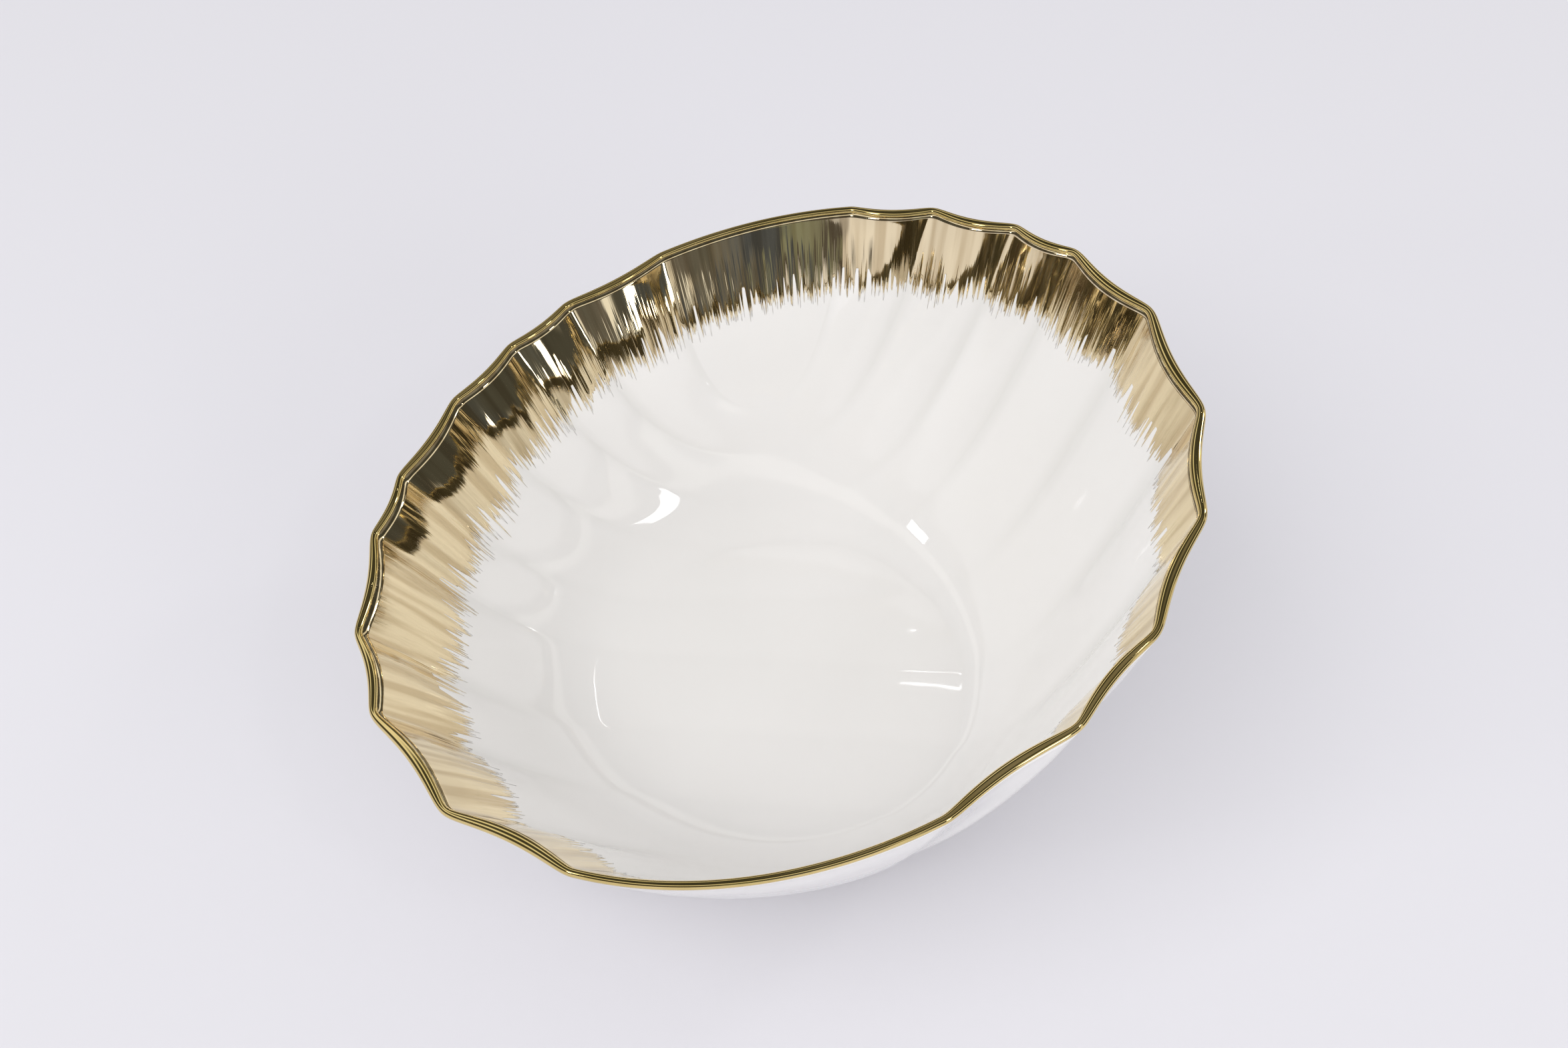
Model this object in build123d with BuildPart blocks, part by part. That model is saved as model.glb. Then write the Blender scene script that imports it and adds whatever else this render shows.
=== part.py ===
"""Fluted porcelain serving bowl with a slanted mouth, gilded by brush around its rim.

The clay is one fired piece: a level floor, a wall pleated into convex ribs that
meet in thin grooves, and a foot ring under the floor.  The mouth is a plane that
is low on the -X side and high on the +X side.  Two layers of gold sit on the clay:
a thin brushed band inside the wall and a rounded bead along the lip.

Millimetres, +Z up.  The origin is on the table plane under the centre of the mouth.
"""
from build123d import *
import os
from math import asin, cos, degrees, hypot, pi, radians, sin, sqrt

os.makedirs("parts", exist_ok=True)

# ---- Driving dimensions ----
MOUTH_RADIUS = 122.0       # inside the wall, to the bottom of the grooves, seen from above
MOUTH_TILT = 16.4          # degrees between the plane of the mouth and the table
MOUTH_HEIGHT = 94.0        # centre of the mouth above the inner floor
FLOOR_RADIUS = 58.0        # level part of the inner floor
FLOOR_SHIFT = 10.5         # the floor and foot lie this far towards the high side
HEEL_REACH = 15.0          # how far the floor's curve runs out level before it turns up
BELLY_RADIUS = 95.0        # guide circle that pulls the wall outwards
BELLY_SHIFT = 7.6
BELLY_HEIGHT = 25.0        # above the inner floor, at its centre
BELLY_TILT = 11.5          # degrees

WALL = 3.2                 # thickness of the fired wall at the lip
FLOOR_THICKNESS = 4.6

# Each groove crosses the bowl from the low side to the high side.  Its two ends at
# the lip, in degrees from the X axis towards +Y, are spaced unevenly as hand work is.
GROOVE_ENDS = [
    (74.0, 76.0), (57.0, 62.5), (46.0, 48.5), (33.5, 37.5), (18.0, 20.5),
    (7.0, 0.5), (-11.0, -17.0), (-26.0, -34.5), (-47.0, -49.5), (-68.0, -68.0),
]
FLOOR_GATHER = 0.80        # on the floor, grooves draw in to this share of their spacing
GATHER_POWER = 2.6         # how late the grooves spread out again towards the lip
GROOVE_CROWD = 10.0        # degrees that two grooves keep apart where they die out
RIB_DEPTH = 0.20           # sag of a rib, in mm for each degree of lip that it spans
RIB_OUTSIDE = 0.5          # share of that sag that shows on the outer face
RIB_FADE = 0.12            # share of it left on the floor
RIB_CLIMB = 3.0            # how late the ribs deepen again on their way up the wall
END_WALL = 0.55            # ribs fade where the wall's cosine round the bowl is below this

FOOT_HEIGHT = 7.0          # table to the underside of the floor
FOOT_INSET = 6.0           # foot ring inside the edge of the level floor
FOOT_WIDTH = 5.0           # ring width where it leaves the floor
FOOT_TAPER = 1.0           # each flank leans in by this much on its way down
FOOT_BEVEL = 0.6           # broken edges of the face that the bowl rests on

LIP_HEIGHT = 1.6           # gold bead above the plane of the mouth
GOLD_THICKNESS = 0.3
BAND_REACH = 15.5          # gold band below the lip, measured in the plane of the mouth
BAND_SWAY = 3.0            # the band is this much wider at one end of the bowl
BAND_SWAY_ANGLE = 150.0    # where the band is widest, degrees from +X
BRUSH_STROKES = 72         # strokes whose ends make the band's ragged lower edge
STROKE_RAGGED = 1.6        # how far the ends of the strokes wander in and out

# ---- Derived places ----
FLOOR_Z = FOOT_HEIGHT + FLOOR_THICKNESS
MOUTH_Z = FLOOR_Z + MOUTH_HEIGHT
LEVELS = [0.0, 0.42, 0.66, 0.85, 1.0]  # wall sections, evenly spaced up the slope


def ring(level, outward=0.0):
    """One cross-section of the wall: radius, centre x, centre z and rise on the high side.

    Four guide circles (floor, heel, belly, mouth) are blended as a cubic Bezier.
    outward moves the section from the inner face towards the outer face: straight
    down at the floor, square to the wall at the belly, level at the mouth.
    """
    mouth = MOUTH_RADIUS + outward
    lower = FLOOR_Z - FLOOR_THICKNESS * outward / WALL
    guides = [
        (FLOOR_RADIUS, FLOOR_SHIFT, lower, 0.0),
        (FLOOR_RADIUS + HEEL_REACH, FLOOR_SHIFT, lower, 0.0),
        (BELLY_RADIUS + 0.75 * outward, BELLY_SHIFT,
         FLOOR_Z + BELLY_HEIGHT - 1.2 * outward, BELLY_RADIUS * sin(radians(BELLY_TILT))),
        (mouth, 0.0, MOUTH_Z, mouth * sin(radians(MOUTH_TILT)) / cos(radians(MOUTH_TILT))),
    ]
    rest = 1.0 - level
    shares = (rest**3, 3 * level * rest**2, 3 * level**2 * rest, level**3)
    return [sum(s * g[i] for s, g in zip(shares, guides)) for i in range(4)]


def ring_plane(level, outward=0.0, lift=0.0):
    """The tilted plane that a wall section lies in, raised by lift along its normal."""
    radius, x, z, rise = ring(level, outward)
    length = hypot(radius, rise)
    normal = (-rise / length, 0.0, radius / length)
    origin = (x + lift * normal[0], 0.0, z + lift * normal[2])
    return Plane(origin=origin, x_dir=(radius, 0.0, rise), z_dir=normal)


def groove_y(number, x):
    """Plan y of a groove at x, for a line that runs from lip to lip.

    Its two ends are eased into each other, then drawn in towards the middle of the
    bowl, most of all half way along, where the floor is.
    """
    low, high = (radians(end) for end in GROOVE_ENDS[number])
    start, end = -MOUTH_RADIUS * cos(low), MOUTH_RADIUS * cos(high)
    share = (x - start) / (end - start)
    ease = share**2 * (3.0 - 2.0 * share)
    line = MOUTH_RADIUS * (sin(low) * (1.0 - ease) + sin(high) * ease)
    return line * (FLOOR_GATHER + (1.0 - FLOOR_GATHER) * abs(2.0 * share - 1.0)**GATHER_POWER)


def groove_angle(number, side, level):
    """Where a groove crosses a wall section, in degrees round the bowl from +X.

    side is 0 on the low side (-X) and 1 on the high side.  The crossing is found by
    halving.  Low on the end walls a groove dies out, and stays beside its neighbours.
    """
    radius, centre, _, _ = ring(level)
    low, high = (radians(end) for end in GROOVE_ENDS[number])
    far = MOUTH_RADIUS * (cos(high) if side else -cos(low))
    near = MOUTH_RADIUS * (cos(high) - cos(low)) / 2
    for _ in range(40):
        middle = (near + far) / 2
        if hypot(middle - centre, groove_y(number, middle)) > radius:
            far = middle
        else:
            near = middle
    across = max(-1.0, min(1.0, groove_y(number, far) / radius))
    angle = degrees(asin(across))
    most_back = 90.0 - GROOVE_CROWD * (number + 0.5)
    most_front = 90.0 - GROOVE_CROWD * (len(GROOVE_ENDS) - number - 0.5)
    angle = max(-most_front, min(most_back, angle))
    return angle if side else 180.0 - angle


def groove_angles(level):
    """All crossings of a wall section, in order round the bowl: high side, low side."""
    count = len(GROOVE_ENDS)
    high = [groove_angle(k, 1, level) for k in reversed(range(count))]
    low = [groove_angle(k, 0, level) for k in range(count)]
    return high + low


def rib_share(level, angle):
    """Share of a rib's full sag: little on the floor, and least on the end walls."""
    facing = min(abs(cos(radians(angle))) / END_WALL, 1.0)
    bare = (1.0 - facing**2 * (3.0 - 2.0 * facing)) * sqrt(max(sin(pi * level), 0.0))
    return (RIB_FADE + (1.0 - RIB_FADE) * level**RIB_CLIMB) * (1.0 - bare)


def section(level, outward=0.0, lift=0.0):
    """A closed outline of shallow curves: ribs between the grooves, plain at both ends.

    Each curve starts and ends on a groove and has its crown half way between them.
    """
    radius, x, z, rise = ring(level, outward)
    along = hypot(radius, rise) / radius
    angles = groove_angles(level)
    at_lip = groove_angles(1.0)
    depth = RIB_DEPTH * (1.0 - (1.0 - RIB_OUTSIDE) * max(outward, 0.0) / WALL)
    with BuildSketch(ring_plane(level, outward, lift)) as outline:
        with BuildLine():
            for k, start in enumerate(angles):
                last = k + 1 == len(angles)
                end = angles[0] + 360.0 if last else angles[k + 1]
                middle = (start + end) / 2
                plain_end = last or 2 * (k + 1) == len(angles)
                span = 0.0 if plain_end else at_lip[k + 1] - at_lip[k]
                sag = depth * span * rib_share(level, middle)
                points = [
                    Vector(reach * along * cos(radians(a)), reach * sin(radians(a)))
                    for reach, a in ((radius, start), (radius - sag, middle), (radius, end))
                ]
                pull = points[1] * 2 - (points[0] + points[2]) * 0.5
                Bezier(points[0], pull, points[2])
        make_face()
    return outline.sketch


# ---- Porcelain body: wall, floor, crossing ribs and foot ring, fired as one ----
with BuildPart() as hollow:
    loft(sections=[section(level) for level in LEVELS])

with BuildPart() as outside:
    loft(sections=[section(level, WALL) for level in LEVELS])

with BuildPart() as floor_ribs:
    reach = FLOOR_RADIUS + HEEL_REACH
    crossing = [k for k in range(len(GROOVE_ENDS)) if abs(groove_y(k, FLOOR_SHIFT)) < FLOOR_RADIUS]
    with BuildSketch(Plane.YZ.offset(FLOOR_SHIFT)) as washboard:
        with BuildLine():
            for k, ahead in zip(crossing, crossing[1:]):
                back, front = groove_y(k, FLOOR_SHIFT), groove_y(ahead, FLOOR_SHIFT)
                span = (sum(GROOVE_ENDS[k]) - sum(GROOVE_ENDS[ahead])) / 2
                crown = FLOOR_Z + RIB_DEPTH * RIB_FADE * span
                ThreePointArc((back, FLOOR_Z), ((back + front) / 2, crown), (front, FLOOR_Z))
            back, front = groove_y(crossing[0], FLOOR_SHIFT), groove_y(crossing[-1], FLOOR_SHIFT)
            lower = FLOOR_Z - FLOOR_THICKNESS / 2
            Polyline((front, FLOOR_Z), (front, lower), (back, lower), (back, FLOOR_Z))
        make_face()
    extrude(amount=reach, both=True)
    add(outside.part, mode=Mode.INTERSECT)

with BuildPart() as body:
    add(outside.part)
    add(hollow.part, mode=Mode.SUBTRACT)
    add(floor_ribs.part)
    foot_radius = FLOOR_RADIUS - FOOT_INSET
    foot_plane = Plane(origin=(FLOOR_SHIFT, 0, 0), x_dir=(1, 0, 0), z_dir=(0, -1, 0))
    with BuildSketch(foot_plane) as foot_profile:
        with BuildLine():
            Polyline(
                (foot_radius - FOOT_TAPER, 0),
                (foot_radius, FOOT_HEIGHT),
                (foot_radius, FOOT_HEIGHT + FLOOR_THICKNESS / 2),
                (foot_radius - FOOT_WIDTH, FOOT_HEIGHT + FLOOR_THICKNESS / 2),
                (foot_radius - FOOT_WIDTH, FOOT_HEIGHT),
                (foot_radius - FOOT_WIDTH + FOOT_TAPER, 0),
                close=True,
            )
        make_face()
        chamfer(foot_profile.vertices().group_by(Axis.Y)[0], FOOT_BEVEL)
    revolve(axis=Axis((FLOOR_SHIFT, 0, 0), (0, 0, 1)))
body.part.label = "porcelain_body"
export_step(body.part, "parts/porcelain_body.step")

# ---- Gold lip: a rounded bead over the whole top of the wall ----
with BuildPart() as lip:
    bead_steps = [radians(a) for a in (0, 40, 80)]
    half_width = (WALL + GOLD_THICKNESS) / 2
    outer_steps = [
        section(1.0, WALL - half_width * (1 - cos(a)), LIP_HEIGHT * sin(a)) for a in bead_steps
    ]
    inner_steps = [
        section(1.0, half_width * (1 - cos(a)) - GOLD_THICKNESS, LIP_HEIGHT * sin(a))
        for a in bead_steps
    ]
    loft(sections=outer_steps, ruled=True)
    loft(sections=inner_steps, ruled=True, mode=Mode.SUBTRACT)
lip.part.label = "gold_lip"
export_step(lip.part, "parts/gold_lip.step")

# ---- Brushed gold band: a skin on the inner face, its lower edge ragged ----
with BuildPart() as band_bore:
    loft(sections=[section(level, -GOLD_THICKNESS) for level in LEVELS])

with BuildPart() as below_brush:
    radius, x, z, rise = ring(1.0)
    along = hypot(radius, rise) / radius
    with BuildSketch(ring_plane(1.0)):
        with BuildLine():
            tips = []
            for k in range(2 * BRUSH_STROKES):
                angle = pi * k / BRUSH_STROKES
                reach = BAND_REACH + BAND_SWAY * cos(angle - radians(BAND_SWAY_ANGLE))
                uneven = 1.0 + 0.5 * sin(2.4 * k)
                tip = radius - reach + STROKE_RAGGED * uneven * (1 if k % 2 else -1)
                tips.append((tip * along * cos(angle), tip * sin(angle)))
            Polyline(*tips, close=True)
        make_face()
    extrude(amount=MOUTH_HEIGHT + MOUTH_RADIUS, both=True)

with BuildPart() as band:
    add(hollow.part)
    add(below_brush.part, mode=Mode.SUBTRACT)
    add(band_bore.part, mode=Mode.SUBTRACT)
band.part.label = "gold_brushed_band"
export_step(band.part, "parts/gold_brushed_band.step")
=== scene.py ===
"""Fluted porcelain serving bowl: glazed body, brushed gold band and gilded lip.

X runs from the bowl's low side to its high side, the front is -Y, and Z is up, in metres.
"""
import math

import bpy
import numpy as np
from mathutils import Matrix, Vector


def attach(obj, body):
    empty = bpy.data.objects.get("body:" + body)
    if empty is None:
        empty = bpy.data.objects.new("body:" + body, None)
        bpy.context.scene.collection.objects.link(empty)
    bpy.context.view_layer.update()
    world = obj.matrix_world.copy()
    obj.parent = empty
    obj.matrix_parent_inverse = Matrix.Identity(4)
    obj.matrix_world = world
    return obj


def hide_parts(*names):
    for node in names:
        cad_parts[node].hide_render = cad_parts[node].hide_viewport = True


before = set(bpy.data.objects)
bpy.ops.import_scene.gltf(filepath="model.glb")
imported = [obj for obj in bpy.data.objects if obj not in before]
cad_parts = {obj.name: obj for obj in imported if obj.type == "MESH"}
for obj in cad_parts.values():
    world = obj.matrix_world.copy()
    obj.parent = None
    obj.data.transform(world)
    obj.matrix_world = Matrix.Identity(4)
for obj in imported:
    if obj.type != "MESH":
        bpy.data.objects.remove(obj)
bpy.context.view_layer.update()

# ---- Porcelain body ------------------------------------------------------------
# One slip-cast, fired and glazed shell: a level floor, and a wall pleated into convex
# ribs that meet in thin grooves.  Inner and outer face are the same form, a wall's
# thickness apart, and ten grooves cross the bowl from the low side to the high side.

MOUTH_RADIUS = 0.122     # to the inner face, at the ends of the grooves
MOUTH_TILT = 16.4        # degrees
MOUTH_HEIGHT = 0.094     # middle of the mouth above the inner floor
FLOOR_RADIUS = 0.058
FLOOR_SHIFT = 0.0105     # the floor and the foot lie this far towards the high side
HEEL_REACH = 0.015       # how gently the floor turns up into the wall
BELLY_RADIUS = 0.095
BELLY_SHIFT = 0.0076
BELLY_HEIGHT = 0.025
BELLY_TILT = 11.5        # degrees
BELLY_WIDER = 0.75       # the outer face's belly guide is wider and lower than the inner
BELLY_LOWER = 1.2        # face's by these shares of the wall's thickness
WALL = 0.0032
FLOOR_THICKNESS = 0.0046
FOOT_HEIGHT = 0.007
FLOOR_Z = FOOT_HEIGHT + FLOOR_THICKNESS
MOUTH_Z = FLOOR_Z + MOUTH_HEIGHT

# Lines from rim to rim, back to front: the ten grooves, and the rim's own back and front.
# Each ends at these degrees from the middle of the low side and of the high side.
GROOVE_LOW = np.array([90, 74, 57, 46, 33.5, 18, 7, -11, -26, -47, -68, -90])
GROOVE_HIGH = np.array([90, 76, 62.5, 48.5, 37.5, 20.5, 0.5, -17, -34.5, -49.5, -68, -90])
SPANS = len(GROOVE_LOW) - 1
FLOOR_GATHER = 0.80      # the lines draw together to this share half way along
GATHER_POWER = 2.6

RIB_DEPTH = 0.00020      # height of a rib's crown for each degree that the rib spans
RIB_OUTSIDE = 0.7        # share of that height on the outer face
RIB_FADE = 0.08          # share of it on the floor
RIB_START = 0.30         # levels between which a rib rises to its full height
RIB_FULL = 0.85
END_WALL = 0.55          # cosine that bounds the smooth walls at the front and the back
GROOVE_ROUND = 0.05      # a groove's rounding, as a share of a rib's width
GROOVE_SHADE = 0.14      # half width of the painted shade and pooled glaze along a groove, likewise
SHADE_CROWN = 0.003      # height of crown from which a groove has its full painted shade and pooled glaze
LIP_THIN = 0.00050       # how far each face draws in towards the lip,
LIP_THIN_LEVELS = 0.10   # and over how many levels
FLARE = 0.0011
FLARE_LEVELS = 0.32
UPRIGHT_LEVEL = 0.5      # from this level up, ribs stand out sideways
FLOOR_LEVEL = 1e-6       # below this level a point counts as floor
HALVINGS = 34

SPAN_STEPS = 32          # mesh columns from groove to groove
INNER_ROWS = 190
OUTER_ROWS = 80
ROW_EVENNESS = 0.45      # 1 would space the rows evenly, 0 would space them as a sine
TINY = 1e-9


def smooth_step(share):
    """Three times the square less twice the cube: eases from 0 at 0 to 1 at 1."""
    return share**2 * (3 - 2 * share)


def ring(level, outward=0.0):
    """Cross-section of the wall: radius, centre x, centre z, and rise of its high side.

    A cubic Bezier in level (0 floor, 1 mouth) of four guide circles: floor, heel,
    belly and mouth.  outward goes from the inner face (0) to the outer face (WALL).
    """
    slope = math.tan(math.radians(MOUTH_TILT))
    lower = FLOOR_Z - FLOOR_THICKNESS * outward / WALL
    guides = np.array([
        (FLOOR_RADIUS, FLOOR_SHIFT, lower, 0.0),
        (FLOOR_RADIUS + HEEL_REACH, FLOOR_SHIFT, lower, 0.0),
        (BELLY_RADIUS + BELLY_WIDER * outward, BELLY_SHIFT,
         FLOOR_Z + BELLY_HEIGHT - BELLY_LOWER * outward,
         BELLY_RADIUS * math.sin(math.radians(BELLY_TILT))),
        (MOUTH_RADIUS + outward, 0.0, MOUTH_Z, (MOUTH_RADIUS + outward) * slope),
    ])
    rest = 1.0 - level
    shares = np.stack([rest**3, 3 * level * rest**2, 3 * level**2 * rest, level**3], -1)
    return np.moveaxis(shares @ guides, -1, 0)


def level_at(x, y, outward):
    """The level whose ring passes over plan point (x, y), by halving; 0 on the floor."""
    low, high = np.zeros_like(x), np.ones_like(x)
    for _ in range(HALVINGS):
        middle = (low + high) / 2
        radius, centre, _, _ = ring(middle, outward)
        outside = (x - centre)**2 + y**2 > radius**2
        low, high = np.where(outside, middle, low), np.where(outside, high, middle)
    return (low + high) / 2


def line_ends(column, outward):
    """Plan x and y of a line's low end, then of its high end, on the rim's circle.

    Column 0 is the rim's back and SPANS its front; the whole columns between them are
    the grooves, and other columns lie between two grooves.
    """
    knots = np.arange(SPANS + 1)
    low = np.radians(np.interp(column, knots, GROOVE_LOW))
    high = np.radians(np.interp(column, knots, GROOVE_HIGH))
    reach = MOUTH_RADIUS + outward
    return -reach * np.cos(low), reach * np.sin(low), reach * np.cos(high), reach * np.sin(high)


def line_y(column, share, outward):
    """Plan y of a line, share of the way from its low end to its high end.

    Its two ends are eased into each other, then drawn in towards the bowl's middle,
    most of all half way along, where the floor is.
    """
    _, y0, _, y1 = line_ends(column, outward)
    eased = y0 + (y1 - y0) * smooth_step(share)
    return eased * (FLOOR_GATHER + (1 - FLOOR_GATHER) * np.abs(2 * share - 1)**GATHER_POWER)


def rib_height(column, share, level, facing, outward):
    """Height of a rib: a parabola from groove to groove, as high as the rib is wide.

    The distance to the nearer groove is rounded off as a hyperbola, and the height that
    this leaves at the groove is taken away.  facing is the cosine of the place round the
    bowl: ribs are low on the floor, and half way up the walls where facing is near 0.
    """
    index = np.clip(np.floor(column).astype(int), 0, SPANS - 1)
    width = -(np.diff(GROOVE_LOW)[index] * (1 - share) + np.diff(GROOVE_HIGH)[index] * share)
    ribbed = (index > 0) & (index < SPANS - 1)
    out = np.maximum(outward, 0) / WALL
    bend = GROOVE_ROUND * (1 + out)
    part = 0.5 - np.abs(column - index - 0.5)
    part = 0.5 * np.sqrt((part**2 + bend**2) / (0.25 + bend**2))
    low = 0.5 * bend / np.sqrt(0.25 + bend**2)
    low = 4 * low * (1 - low)
    crown = (4 * part * (1 - part) - low) / (1 - low)
    turned = np.clip(np.abs(facing) / END_WALL, 0, 1)
    bare = (1 - smooth_step(turned)) * np.sqrt(np.clip(np.sin(math.pi * level), 0, 1))
    depth = RIB_DEPTH * (1 - (1 - RIB_OUTSIDE) * out) * (1 - bare)
    climb = np.clip((level - RIB_START) / (RIB_FULL - RIB_START), 0, 1)
    depth = depth * (RIB_FADE + (1 - RIB_FADE) * smooth_step(climb))
    return np.where(ribbed, depth * width * crown, 0.0)


def lip_thinning(level):
    """How far each face has drawn in from the wall's full thickness, close to the lip."""
    start = 1 - LIP_THIN_LEVELS
    return LIP_THIN * smooth_step(np.clip((level - start) / LIP_THIN_LEVELS, 0, 1))


def flare(level, facing):
    """How far the wall pulls in below the lip, so that the lip turns outwards.

    The way down times the square of the way left, and 27/4 of that, so that the most is
    FLARE, a third of the way down.  The low side flares most, the high side not at all.
    """
    down = np.clip((1 - level) / FLARE_LEVELS, 0, 1)
    return FLARE * (0.5 - 0.5 * facing)**2 * 27 / 4 * down * (1 - down)**2


def wall_point(x, y, level, lift, outward):
    """Plan point (x, y) raised to the wall, then moved by lift off the smooth form.

    The lift is straight up on the floor and turns towards the bowl's axis up the wall.
    """
    radius, centre, height, rise = ring(level, outward)
    lean = np.where(level > FLOOR_LEVEL, rise / radius, 0.0)
    z = height + lean * (x - centre)
    dx, dy = (x - centre) / radius, y / radius
    turn = smooth_step(np.clip(level / UPRIGHT_LEVEL, 0, 1))
    return np.stack([x - lift * turn * dx, y - lift * turn * dy,
                     z + lift * (1 - turn) - lift * turn * lean * dx], -1)


def lined_face(columns, rows, outward):
    """A face of the wall on a grid whose columns follow the grooves, from lip to lip.

    Rows are spaced partly evenly and partly as a sine, so they are close together near
    the lip.  Returns the points, and for each a grey for painted shade and pooled glaze:
    1 along a groove, 0 between two.
    """
    column = np.linspace(0, SPANS, columns)[:, None] + np.zeros((1, rows))
    travel = np.linspace(-1, 1, rows)[None, :]
    travel = ROW_EVENNESS * travel + (1 - ROW_EVENNESS) * np.sin(travel * math.pi / 2)
    share = 0.5 + 0.5 * travel + 0 * column
    x0, _, x1, _ = line_ends(column, outward)
    x = x0 + (x1 - x0) * share
    y = line_y(column, share, outward)
    level = level_at(x, y, outward)
    level[:, 0] = level[:, -1] = 1.0
    radius, centre, _, _ = ring(level, outward)
    facing = (x - centre) / radius
    lift = rib_height(column, share, level, facing, outward)
    lift = lift + lip_thinning(level) * (1 if outward else -1) + flare(level, facing)
    # Painted shade, with some glaze pooled in the groove: full on a groove, none GROOVE_SHADE
    # away, and less where the rib is low.
    near = np.clip(1 - np.abs(column - np.round(column)) / GROOVE_SHADE, 0, 1)
    crown = rib_height(np.floor(column) + 0.5, share, level, facing, outward)
    return wall_point(x, y, level, lift, outward), near * np.clip(crown / SHADE_CROWN, 0, 1)


def grid_quads(number):
    """Quads between neighbouring rows and columns of a grid of vertex numbers."""
    return np.stack([number[:-1, :-1], number[1:, :-1], number[1:, 1:], number[:-1, 1:]],
                    -1).reshape(-1, 4)


def make_mesh(name, points, quads):
    """A smooth mesh object from points and quads; repeated corners of a quad become one."""
    corners = [tuple(dict.fromkeys(quad)) for quad in quads.tolist()]
    mesh = bpy.data.meshes.new(name)
    mesh.from_pydata(points.reshape(-1, 3).tolist(), [],
                     [face for face in corners if len(face) > 2])
    mesh.polygons.foreach_set("use_smooth", np.ones(len(mesh.polygons), bool))
    piece = bpy.data.objects.new(name, mesh)
    bpy.context.scene.collection.objects.link(piece)
    return piece


def add_point_value(piece, name, values):
    """Stores one number for each vertex under that name, for its material to read."""
    layer = piece.data.attributes.new(name, "FLOAT", "POINT")
    layer.data.foreach_set("value", values)


COLUMNS = SPANS * SPAN_STEPS + 1
inner, inner_shade_and_pool = lined_face(COLUMNS, INNER_ROWS, 0.0)
outer, outer_shade_and_pool = lined_face(COLUMNS, OUTER_ROWS, WALL)
inner_number = np.arange(COLUMNS * INNER_ROWS).reshape(COLUMNS, INNER_ROWS)
outer_number = np.arange(COLUMNS * OUTER_ROWS).reshape(COLUMNS, OUTER_ROWS) + inner_number.size
for number in (inner_number, outer_number):
    half = number.shape[1] // 2
    for end in (0, -1):
        number[end, half:] = number[end, :half][::-1]
body_quads = np.concatenate([
    grid_quads(inner_number),
    grid_quads(outer_number)[:, ::-1],
    grid_quads(np.stack([outer_number[:, 0], inner_number[:, 0]], 1)),
    grid_quads(np.stack([inner_number[:, -1], outer_number[:, -1]], 1)),
])
body_points = np.concatenate([inner.reshape(-1, 3), outer.reshape(-1, 3)])
body = make_mesh("bowl_body", body_points, body_quads)
# The grooves' painted shade and pooled glaze, stored for the glaze material to read.
add_point_value(body, "groove", np.concatenate([inner_shade_and_pool.ravel(), outer_shade_and_pool.ravel()]))


def new_material(name):
    """A node material with that name, its node tree and its surface shader."""
    material = bpy.data.materials.new(name)
    material.use_nodes = True
    return material, material.node_tree, material.node_tree.nodes["Principled BSDF"]


def feed(tree, socket, value):
    """Gives an input socket its number or colour, or links another node's output to it."""
    if isinstance(value, bpy.types.NodeSocket):
        tree.links.new(value, socket)
    else:
        socket.default_value = value


def add_node(tree, kind, **inputs):
    """A shader node; the words name its inputs, with _ for a blank."""
    node = tree.nodes.new("ShaderNode" + kind)
    for name, value in inputs.items():
        feed(tree, node.inputs[name.replace("_", " ")], value)
    return node


def blend_colours(tree, factor, first, second):
    """The first colour where factor is 0, the second where it is 1."""
    node = tree.nodes.new("ShaderNodeMix")
    node.data_type = "RGBA"
    for index, value in ((0, factor), (6, first), (7, second)):
        feed(tree, node.inputs[index], value)
    return node.outputs[2]


def arithmetic(tree, operation, first, second):
    """One arithmetic step between two values, either of which may be a number."""
    node = tree.nodes.new("ShaderNodeMath")
    node.operation = operation
    feed(tree, node.inputs[0], first)
    feed(tree, node.inputs[1], second)
    return node.outputs[0]


def colour_ramp(tree, value, stops):
    """Colour by value, in straight runs between stops of (value, colour)."""
    node = add_node(tree, "ValToRGB", Fac=value)
    for position, _ in stops[1:-1]:
        node.color_ramp.elements.new(position)
    for element, (position, colour) in zip(node.color_ramp.elements, stops):
        element.position = position
        element.color = colour
    return node.outputs["Color"]


GLAZE_TINTS = [(0.3, (0.840, 0.825, 0.805, 1)), (0.7, (0.865, 0.850, 0.835, 1))]
TINT_SCALE = 9.0
# Grey along the grooves: painted shade, with some glaze pooled in them.
GROOVE_SHADE_AND_POOL_COLOUR = (0.70, 0.69, 0.66, 1)
GROOVE_SHADE_AND_POOL_SHARE = 0.45
RIPPLE_SCALE = 38.0
RIPPLE_STRENGTH = 0.16
RIPPLE_HEIGHT = 0.001

glaze, tree, surface = new_material("white_glaze")
surface.inputs["Roughness"].default_value = 0.035
surface.inputs["IOR"].default_value = 1.52
place = add_node(tree, "TexCoord").outputs["Object"]
cloud = add_node(tree, "TexNoise", Vector=place, Scale=TINT_SCALE, Detail=2.0)
tint = colour_ramp(tree, cloud.outputs["Fac"], GLAZE_TINTS)
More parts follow.
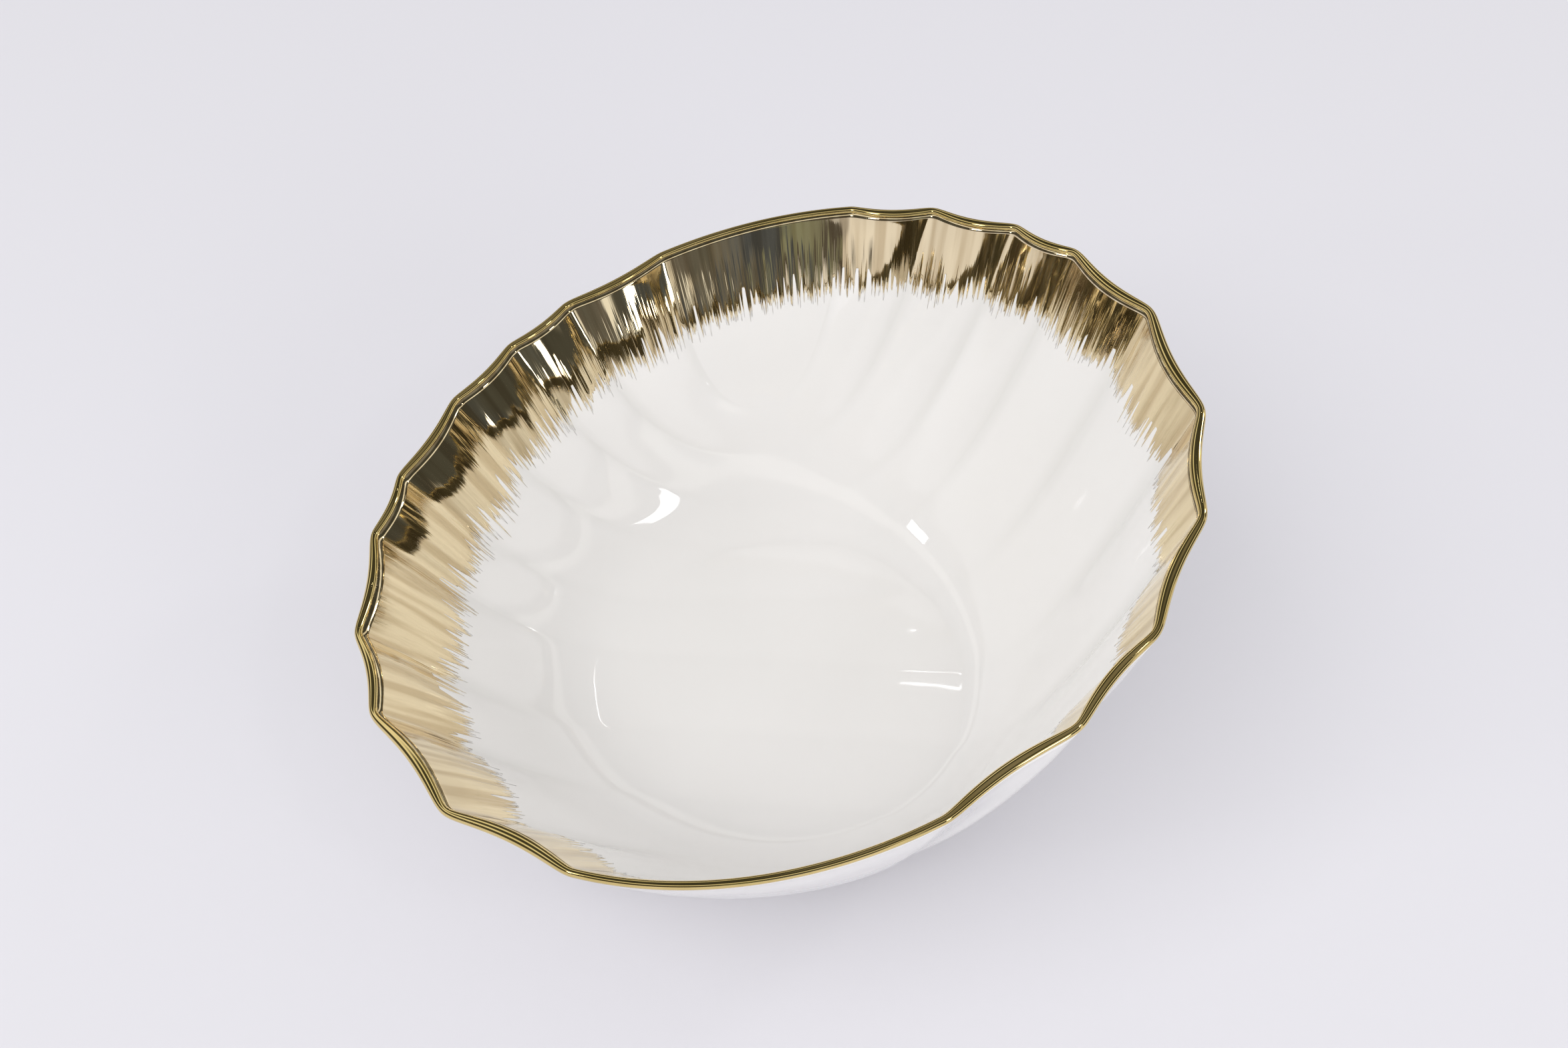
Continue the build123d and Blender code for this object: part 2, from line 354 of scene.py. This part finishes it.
# Painted shade along the grooves, with pooled glaze: the groove value mixes the grey into the
# glaze.
groove = add_node(tree, "Attribute")
groove.attribute_name = "groove"
groove_shade_and_pool = arithmetic(tree, "MULTIPLY", groove.outputs["Fac"], GROOVE_SHADE_AND_POOL_SHARE)
ripple = add_node(tree, "TexNoise", Vector=place, Scale=RIPPLE_SCALE, Detail=1.0)
bump = add_node(tree, "Bump", Strength=RIPPLE_STRENGTH, Distance=RIPPLE_HEIGHT,
                Height=ripple.outputs["Fac"])
feed(tree, surface.inputs["Base Color"], blend_colours(tree, groove_shade_and_pool, tint, GROOVE_SHADE_AND_POOL_COLOUR))
feed(tree, surface.inputs["Normal"], bump.outputs["Normal"])
body.data.materials.append(glaze)
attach(body, "root")
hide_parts("porcelain_body")

# ---- Foot ring -----------------------------------------------------------------
# The ring that the bowl stands on, moulded in one with the body and glazed with it.
# Its resting edge is rounded over.

FOOT_INSET = 0.006       # from the edge of the level floor to the ring's outer flank
FOOT_WIDTH = 0.005
FOOT_TAPER = 0.001
FOOT_ROUND = 0.0008
FOOT_COLUMNS = 180
BEND_STEPS = 7


def foot_outline():
    """Half section of the ring, outer flank to inner flank: its radii and its heights.

    The flanks are straight, and a quarter circle joins each to the resting edge.  The
    top stands half way up in the thickness of the bowl's floor.
    """
    outside = FLOOR_RADIUS - FOOT_INSET
    inside = outside - FOOT_WIDTH
    top = [FOOT_HEIGHT + FLOOR_THICKNESS / 2]
    bend = np.radians(np.linspace(0, 90, BEND_STEPS))
    across, down = FOOT_ROUND * np.cos(bend), FOOT_ROUND * np.sin(bend)
    radius = np.concatenate([[outside], outside - FOOT_TAPER - FOOT_ROUND + across,
                             inside + FOOT_TAPER + FOOT_ROUND - down, [inside]])
    height = np.concatenate([top, FOOT_ROUND - down, FOOT_ROUND - across, top])
    return radius, height


def tube_quads(number):
    """Quads of a tube bent into a ring: the last row and column join the first."""
    number = np.concatenate([number, number[:1]])
    return grid_quads(np.concatenate([number, number[:, :1]], 1))


foot_radius, foot_z = foot_outline()
foot_turn = np.linspace(0, 2 * math.pi, FOOT_COLUMNS, endpoint=False)[:, None]
foot_points = np.stack([FLOOR_SHIFT + foot_radius * np.cos(foot_turn),
                        foot_radius * np.sin(foot_turn), foot_z + 0 * foot_turn], -1)
foot_number = np.arange(foot_points[..., 0].size).reshape(foot_points.shape[:2])
foot = make_mesh("bowl_foot_ring", foot_points, tube_quads(foot_number)[:, ::-1])
foot.data.materials.append(glaze)
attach(foot, "root")
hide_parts("porcelain_body")

# ---- Brushed gold band ---------------------------------------------------------
# Liquid gold lustre laid on the glaze with a flat brush, in strokes pulled from the lip
# down the inside of the wall, then fired to a bright film.  Where the brush lifts, the
# strokes end in fine tips of uneven length, and glaze shows between the bristle marks.

BAND_WIDTH = 0.0310
BAND_SWAY = 0.0050       # wider by this at one side of the bowl, narrower at the other
BAND_SWAY_ANGLE = 170.0  # degrees anticlockwise from the high side
BAND_SPREAD = 0.0080     # wider still, over the middle of the low side only
BAND_SPREAD_ANGLE = 185.0
BAND_SPREAD_POWER = 3
FILM = 0.00012
SOLID_GOLD = 0.58        # share of the width that is gold all the way round
STROKE_POINT = 1.25      # power of the curve by which a stroke narrows to its tip
STROKE_SLIMNESS = (0.5, 1.5)      # a stroke is from half to one and a half times as wide
STROKE_SEED = 41
TUFTS = [  # how many, how far they reach as a share of the width, spread, half angle
    (150, 0.80, 0.060, 0.0160),
    (420, 0.88, 0.070, 0.0070),
    (900, 0.94, 0.070, 0.0036),
]
BAND_COLUMNS = 3600
EVEN_ROWS = 13           # rows above the tips,
EVEN_SHARE = 0.97        # over this share of the solid gold,
TIP_ROWS = 3             # and rows from there to each column's own end
BACK_STEP = 5            # the hidden back of the film has every fifth row only
UNDER_LIP = 0.15         # levels over which the wall's slope is measured


def column_at(x, y, outward):
    """The line that passes over plan point (x, y), by halving, and how far along it.

    The share runs straight in x from the line's low end (0) to its high end (1).
    """
    def share_at(column):
        x0, _, x1, _ = line_ends(column, outward)
        return np.clip((x - x0) / np.maximum(x1 - x0, TINY), 0, 1)

    low, high = np.zeros_like(x), np.full_like(x, float(SPANS))
    for _ in range(HALVINGS):
        middle = (low + high) / 2
        behind = line_y(middle, share_at(middle), outward) > y
        low, high = np.where(behind, middle, low), np.where(behind, high, middle)
    column = (low + high) / 2
    return column, share_at(column)


def stroke_reach(angle):
    """Share of the band's width that gold covers at each rim angle.

    The longest of many strokes: broad tufts, finer locks and single bristles, each with
    its own place and length, and shorter away from its middle by a power of the distance.
    """
    draw = np.random.default_rng(STROKE_SEED)
    covered = np.full_like(angle, SOLID_GOLD)
    for count, longest, spread, slim in TUFTS:
        middles = draw.uniform(0, 2 * math.pi, count)
        lengths = draw.normal(longest, spread, count)
        halves = slim * draw.uniform(*STROKE_SLIMNESS, count)
        for middle, length, half in zip(middles, lengths, halves):
            away = np.abs((angle - middle + math.pi) % (2 * math.pi) - math.pi)
            stroke = length - (length - SOLID_GOLD) * (away / half)**STROKE_POINT
            covered = np.maximum(covered, stroke)
    return covered


def rim_speed(angle):
    """Length of wall for each unit of level just under the lip, at each rim angle."""
    ends = []
    for level in (1.0, 1.0 - UNDER_LIP):
        radius, centre, height, rise = ring(np.full_like(angle, level))
        ends.append(np.stack([centre + radius * np.cos(angle), radius * np.sin(angle),
                              height + rise * np.cos(angle)], -1))
    return np.linalg.norm(ends[0] - ends[1], axis=-1) / UNDER_LIP


band_angle = np.linspace(0, 2 * math.pi, BAND_COLUMNS, endpoint=False)
sway = np.cos(band_angle - math.radians(BAND_SWAY_ANGLE))
spread = np.maximum(np.cos(band_angle - math.radians(BAND_SPREAD_ANGLE)), 0)
band_width = BAND_WIDTH + BAND_SWAY * sway + BAND_SPREAD * spread**BAND_SPREAD_POWER
stroke_end = band_width * stroke_reach(band_angle)
even_end = band_width * SOLID_GOLD * EVEN_SHARE
distance = np.concatenate([
    even_end[:, None] * np.linspace(0, 1, EVEN_ROWS),
    even_end[:, None] + (stroke_end - even_end)[:, None] * np.arange(1, TIP_ROWS + 1) / TIP_ROWS,
], 1)
level = 1 - distance / rim_speed(band_angle)[:, None]
radius, centre, _, _ = ring(level)
x = centre + radius * np.cos(band_angle)[:, None]
y = radius * np.sin(band_angle)[:, None]
facing = (x - centre) / radius
lift = rib_height(*column_at(x, y, 0.0), level, facing, 0.0)
lift = lift - lip_thinning(level) + flare(level, facing)
front = wall_point(x, y, level, lift + FILM, 0.0)
back = wall_point(x, y, level, lift - FILM / 2, 0.0)[:, ::BACK_STEP]
front_number = np.arange(distance.size).reshape(distance.shape)
back_number = np.arange(back[..., 0].size).reshape(back.shape[:2]) + front_number.size
band = make_mesh("gold_band", np.concatenate([front.reshape(-1, 3), back.reshape(-1, 3)]),
                 tube_quads(np.concatenate([front_number, back_number[:, ::-1]], 1)))
arc = (band_angle * MOUTH_RADIUS)[:, None] + 0 * distance
stroke_place = np.stack([arc, distance], -1)
uv_points = np.concatenate([stroke_place.reshape(-1, 2),
                            stroke_place[:, ::BACK_STEP].reshape(-1, 2)])
corner_vertex = np.empty(len(band.data.loops), int)
band.data.loops.foreach_get("vertex_index", corner_vertex)
uv = band.data.uv_layers.new(name="strokes")
uv.data.foreach_set("uv", uv_points[corner_vertex].ravel())
share_down = distance / band_width[:, None]
add_point_value(band, "tip", np.concatenate([share_down.ravel(),
                                             share_down[:, ::BACK_STEP].ravel()]))


def bristle_noise(tree, strokes, across, along, detail):
    """Noise drawn out along the strokes: across and along are marks for each metre."""
    stretch = add_node(tree, "Mapping", Vector=strokes, Scale=(across, along, 1.0))
    marks = add_node(tree, "TexNoise", Vector=stretch.outputs["Vector"], Scale=1.0,
                     Detail=detail)
    marks.noise_dimensions = "2D"
    return marks.outputs["Fac"]


def step_value(tree, value, low, high, start=0.0, end=1.0):
    """Smooth step of a value: start where it is below low, end where it is above high."""
    step = add_node(tree, "MapRange", Value=value, From_Min=low, From_Max=high,
                    To_Min=start, To_Max=end)
    step.interpolation_type = "SMOOTHSTEP"
    return step.outputs["Result"]


GOLD = (0.86, 0.73, 0.49, 1)
THIN_GOLD = (0.66, 0.53, 0.33, 1)
GLAZE_WHITE = (0.853, 0.838, 0.82, 1)
BRISTLES = (2600, 55, 1.0)        # marks across and along for each metre, and detail
STREAKS = (900, 16, 2.0)
SWELLS = (230, 14, 1.5)
SWELL_SHARE = 4.0                 # how much higher the swells stand than the streaks
MEAN_RELIEF = 2.5                 # middle of streaks and swells together
STROKE_RELIEF = 0.00025
STROKE_STRENGTH = 0.55

lustre, tree, surface = new_material("gold_lustre")
stroke_map = add_node(tree, "UVMap")
stroke_map.uv_map = "strokes"
tip = add_node(tree, "Attribute")
tip.attribute_name = "tip"
bristles, streaks, swells = (bristle_noise(tree, stroke_map.outputs["UV"], *marks)
                             for marks in (BRISTLES, STREAKS, SWELLS))
# Over the last part of a stroke the gold wears through between the bristle marks.
down = tip.outputs["Fac"]
worn = step_value(tree, down, low=0.60, high=1.0, start=0.0, end=0.56)
left_over = arithmetic(tree, "SUBTRACT", bristles, worn)
cover = step_value(tree, left_over, low=-0.02, high=0.10)
# The film is thick and thin by swells, and a little duller along the streaks.
thick = step_value(tree, swells, low=0.35, high=0.62)
film_colour = blend_colours(tree, thick, THIN_GOLD, GOLD)
roughness = step_value(tree, streaks, low=0.35, high=0.70, start=0.025, end=0.07)
# Both stand up as relief, which is faint by the lip and full from half way down.
brushed = step_value(tree, down, low=0.10, high=0.55, start=0.06, end=1.0)
waves = arithmetic(tree, "ADD", streaks, arithmetic(tree, "MULTIPLY", swells, SWELL_SHARE))
waves = arithmetic(tree, "SUBTRACT", waves, MEAN_RELIEF)
bump = add_node(tree, "Bump", Strength=STROKE_STRENGTH, Distance=STROKE_RELIEF,
                Height=arithmetic(tree, "MULTIPLY", waves, brushed))
feed(tree, surface.inputs["Base Color"], blend_colours(tree, cover, GLAZE_WHITE, film_colour))
feed(tree, surface.inputs["Metallic"], cover)
feed(tree, surface.inputs["Roughness"], roughness)
feed(tree, surface.inputs["Normal"], bump.outputs["Normal"])
band.data.materials.append(lustre)
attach(band, "root")
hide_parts("gold_brushed_band")

# ---- Gilded lip ----------------------------------------------------------------
# The rounded top of the wall, banded with gold all the way round, so that it reads as
# one bright bead from the inner face to the outer face.

LIP_COLUMNS = 2112
LIP_ROWS = 13
LIP_HEIGHT = 0.0015
GOLD_THICKNESS = 0.00012


def bead_outline():
    """Half ellipse over the wall's top: offset from the inner face, and height."""
    bend = np.linspace(0, math.pi, LIP_ROWS)
    half = WALL / 2 - LIP_THIN + GOLD_THICKNESS
    return WALL / 2 - half * np.cos(bend), LIP_HEIGHT * np.sin(bend)


def mouth_point(angle, offset, height):
    """A point by the scalloped mouth: offset outwards from the inner face, in the plane
    of the mouth, and height along that plane's normal."""
    slope = math.tan(math.radians(MOUTH_TILT))
    column, share = column_at(MOUTH_RADIUS * np.cos(angle), MOUTH_RADIUS * np.sin(angle), 0.0)
    sag = rib_height(column, share, np.ones_like(angle), np.cos(angle), offset)
    reach = MOUTH_RADIUS - sag + offset
    normal = np.array([-slope, 0.0, 1.0]) / math.hypot(slope, 1.0)
    flat = np.stack([reach * np.cos(angle), reach * np.sin(angle),
                     MOUTH_Z + slope * reach * np.cos(angle)], -1)
    return flat + height[..., None] * normal


knots = np.arange(SPANS + 1)
to_front = np.linspace(0, SPANS, LIP_COLUMNS // 2, endpoint=False)
to_back = np.linspace(SPANS, 0, LIP_COLUMNS // 2, endpoint=False)
lip_angle = np.concatenate([
    math.pi - np.radians(np.interp(to_front, knots, GROOVE_LOW)),
    2 * math.pi + np.radians(np.interp(to_back, knots, GROOVE_HIGH)),
])[:, None]
bead_offset, bead_height = bead_outline()
zero = np.zeros_like(lip_angle)
lip_points = mouth_point(lip_angle + 0 * bead_offset, bead_offset + zero, bead_height + zero)
lip_number = np.arange(lip_points[..., 0].size).reshape(lip_points.shape[:2])
lip = make_mesh("gold_lip_bead", lip_points, tube_quads(lip_number))

LIP_TINTS = [(0.3, (0.66, 0.51, 0.20, 1)), (0.7, (0.82, 0.65, 0.30, 1))]
LIP_TINT_SCALE = 60.0

bright, tree, surface = new_material("gold_bright")
surface.inputs["Metallic"].default_value = 1.0
surface.inputs["Roughness"].default_value = 0.06
place = add_node(tree, "TexCoord").outputs["Object"]
drift = add_node(tree, "TexNoise", Vector=place, Scale=LIP_TINT_SCALE, Detail=2.0)
feed(tree, surface.inputs["Base Color"], colour_ramp(tree, drift.outputs["Fac"], LIP_TINTS))
lip.data.materials.append(bright)
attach(lip, "root")
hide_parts("gold_lip")

# ---- Stage, light and camera ---------------------------------------------------
# A plain pale floor under a plain pale sky, with a key light and a fill light that
# mirrors don't see.  Mirrors see four small softboxes, a thin strip lamp, and a room:
# dark furniture between bright panels, below a dark ceiling with a bright ring in it.

FLOOR_COLOUR = (0.695, 0.685, 0.72, 1)
FLOOR_ROUGHNESS = 0.9
FLOOR_REACH = 14.0

floor_corners = [(-FLOOR_REACH, -FLOOR_REACH, 0), (FLOOR_REACH, -FLOOR_REACH, 0),
                 (FLOOR_REACH, FLOOR_REACH, 0), (-FLOOR_REACH, FLOOR_REACH, 0)]
floor_mesh = bpy.data.meshes.new("floor")
floor_mesh.from_pydata(floor_corners, [], [(0, 1, 2, 3)])
floor = bpy.data.objects.new("floor", floor_mesh)
bpy.context.scene.collection.objects.link(floor)
pale, tree, surface = new_material("pale_floor")
surface.inputs["Base Color"].default_value = FLOOR_COLOUR
surface.inputs["Roughness"].default_value = FLOOR_ROUGHNESS
floor.data.materials.append(pale)

AIM = Vector((0, 0, 0.05))
LIGHTS = [  # name, place, width and height, watts, whether mirrors see it
    ("key_light", (-1.2, -1.1, 2.2), (1.6, 1.6), 25, False),
    ("fill_light", (1.6, -1.4, 0.9), (1.0, 1.0), 7, False),
    ("front_box", (1.02, -0.80, 1.50), (0.20, 0.20), 1.0, True),
    ("low_box", (0.92, -1.58, 0.60), (0.25, 0.30), 1.5, True),
    ("left_box", (-1.70, -0.75, 0.80), (0.25, 0.25), 2, True),
    ("window_lamp", (1.55, 0.85, 1.00), (0.20, 0.40), 2, True),
    ("strip_lamp", (0.27, 1.17, 1.63), (0.13, 0.004), 0.05, True),
]
for name, spot, size, watts, mirrored in LIGHTS:
    data = bpy.data.lights.new(name, "AREA")
    data.shape = "RECTANGLE"
    data.size, data.size_y = size
    data.energy = watts
    lamp = bpy.data.objects.new(name, data)
    lamp.location = spot
    lamp.rotation_euler = (AIM - Vector(spot)).to_track_quat("-Z", "Y").to_euler()
    lamp.visible_glossy = mirrored
    bpy.context.scene.collection.objects.link(lamp)

SKY = (0.81, 0.81, 0.82, 1)
PANELS = [  # turn round the horizon, anticlockwise from the low side (-X); colour there
    (0.000, (0.08, 0.08, 0.07, 1)), (0.172, (0.10, 0.09, 0.08, 1)),
    (0.179, (0.24, 0.25, 0.20, 1)), (0.197, (0.25, 0.27, 0.20, 1)),
    (0.202, (0.09, 0.10, 0.12, 1)), (0.223, (0.07, 0.08, 0.10, 1)),
    (0.229, (0.13, 0.14, 0.16, 1)), (0.246, (0.18, 0.17, 0.15, 1)),
    (0.251, (0.11, 0.11, 0.10, 1)), (0.274, (0.16, 0.15, 0.14, 1)),
    (0.279, (0.95, 0.95, 0.95, 1)), (0.292, (0.95, 0.95, 0.95, 1)),
    (0.298, (0.10, 0.10, 0.09, 1)), (0.340, (0.10, 0.12, 0.14, 1)),
    (0.375, (0.06, 0.06, 0.06, 1)), (0.398, (0.07, 0.07, 0.07, 1)),
    (0.404, (0.95, 0.90, 0.82, 1)), (0.420, (0.95, 0.90, 0.82, 1)),
    (0.426, (0.06, 0.06, 0.06, 1)), (0.500, (0.08, 0.08, 0.08, 1)),
    (0.520, (0.10, 0.10, 0.09, 1)), (0.526, (0.75, 0.70, 0.62, 1)),
    (0.540, (0.75, 0.70, 0.62, 1)), (0.546, (0.06, 0.05, 0.05, 1)),
    (0.575, (0.09, 0.08, 0.07, 1)), (0.581, (0.90, 0.86, 0.78, 1)),
    (0.600, (0.90, 0.86, 0.78, 1)), (0.606, (0.08, 0.07, 0.06, 1)),
    (0.650, (0.12, 0.11, 0.09, 1)), (0.700, (0.40, 0.37, 0.31, 1)),
    (0.760, (0.10, 0.09, 0.08, 1)), (1.000, (0.08, 0.08, 0.07, 1)),
]
CEILING = [  # sine of the height above the horizon, colour there
    (0.26, (0.07, 0.07, 0.06, 1)), (0.43, (0.07, 0.07, 0.06, 1)),
    (0.46, (0.95, 0.93, 0.86, 1)), (0.58, (0.95, 0.93, 0.86, 1)),
    (0.62, (0.06, 0.06, 0.05, 1)), (0.84, (0.06, 0.06, 0.05, 1)),
    (0.92, (0.22, 0.21, 0.19, 1)),
]
CEILING_START = (0.24, 0.34)      # sines between which the panels give way to the ceiling

world = bpy.data.worlds.new("studio")
bpy.context.scene.world = world
world.use_nodes = True
tree = world.node_tree
air = tree.nodes["Background"]
air.inputs["Strength"].default_value = 1.0
direction = add_node(tree, "TexCoord").outputs["Generated"]
axes = add_node(tree, "SeparateXYZ", Vector=direction)
heading = arithmetic(tree, "ARCTAN2", axes.outputs["Y"], axes.outputs["X"])
turned = arithmetic(tree, "MULTIPLY", heading, 0.5 / math.pi)
turned = arithmetic(tree, "ADD", turned, 0.5)
above = step_value(tree, axes.outputs["Z"], *CEILING_START)
room = blend_colours(tree, above, colour_ramp(tree, turned, PANELS),
                     colour_ramp(tree, axes.outputs["Z"], CEILING))
mirror_ray = add_node(tree, "LightPath").outputs["Is Glossy Ray"]
feed(tree, air.inputs["Color"], blend_colours(tree, mirror_ray, SKY, room))

CAMERA_PLACE = (0.0076, -0.3059, 0.4671)
CAMERA_DOWN = 50.69      # degrees below level
LENS = 36.8
SENSOR = 36.0

camera_data = bpy.data.cameras.new("camera")
camera_data.sensor_width = SENSOR
camera_data.lens = LENS
camera = bpy.data.objects.new("camera", camera_data)
camera.location = CAMERA_PLACE
camera.rotation_euler = (math.radians(90 - CAMERA_DOWN), 0, 0)
bpy.context.scene.collection.objects.link(camera)
bpy.context.scene.camera = camera
bpy.context.scene.view_settings.view_transform = "Standard"
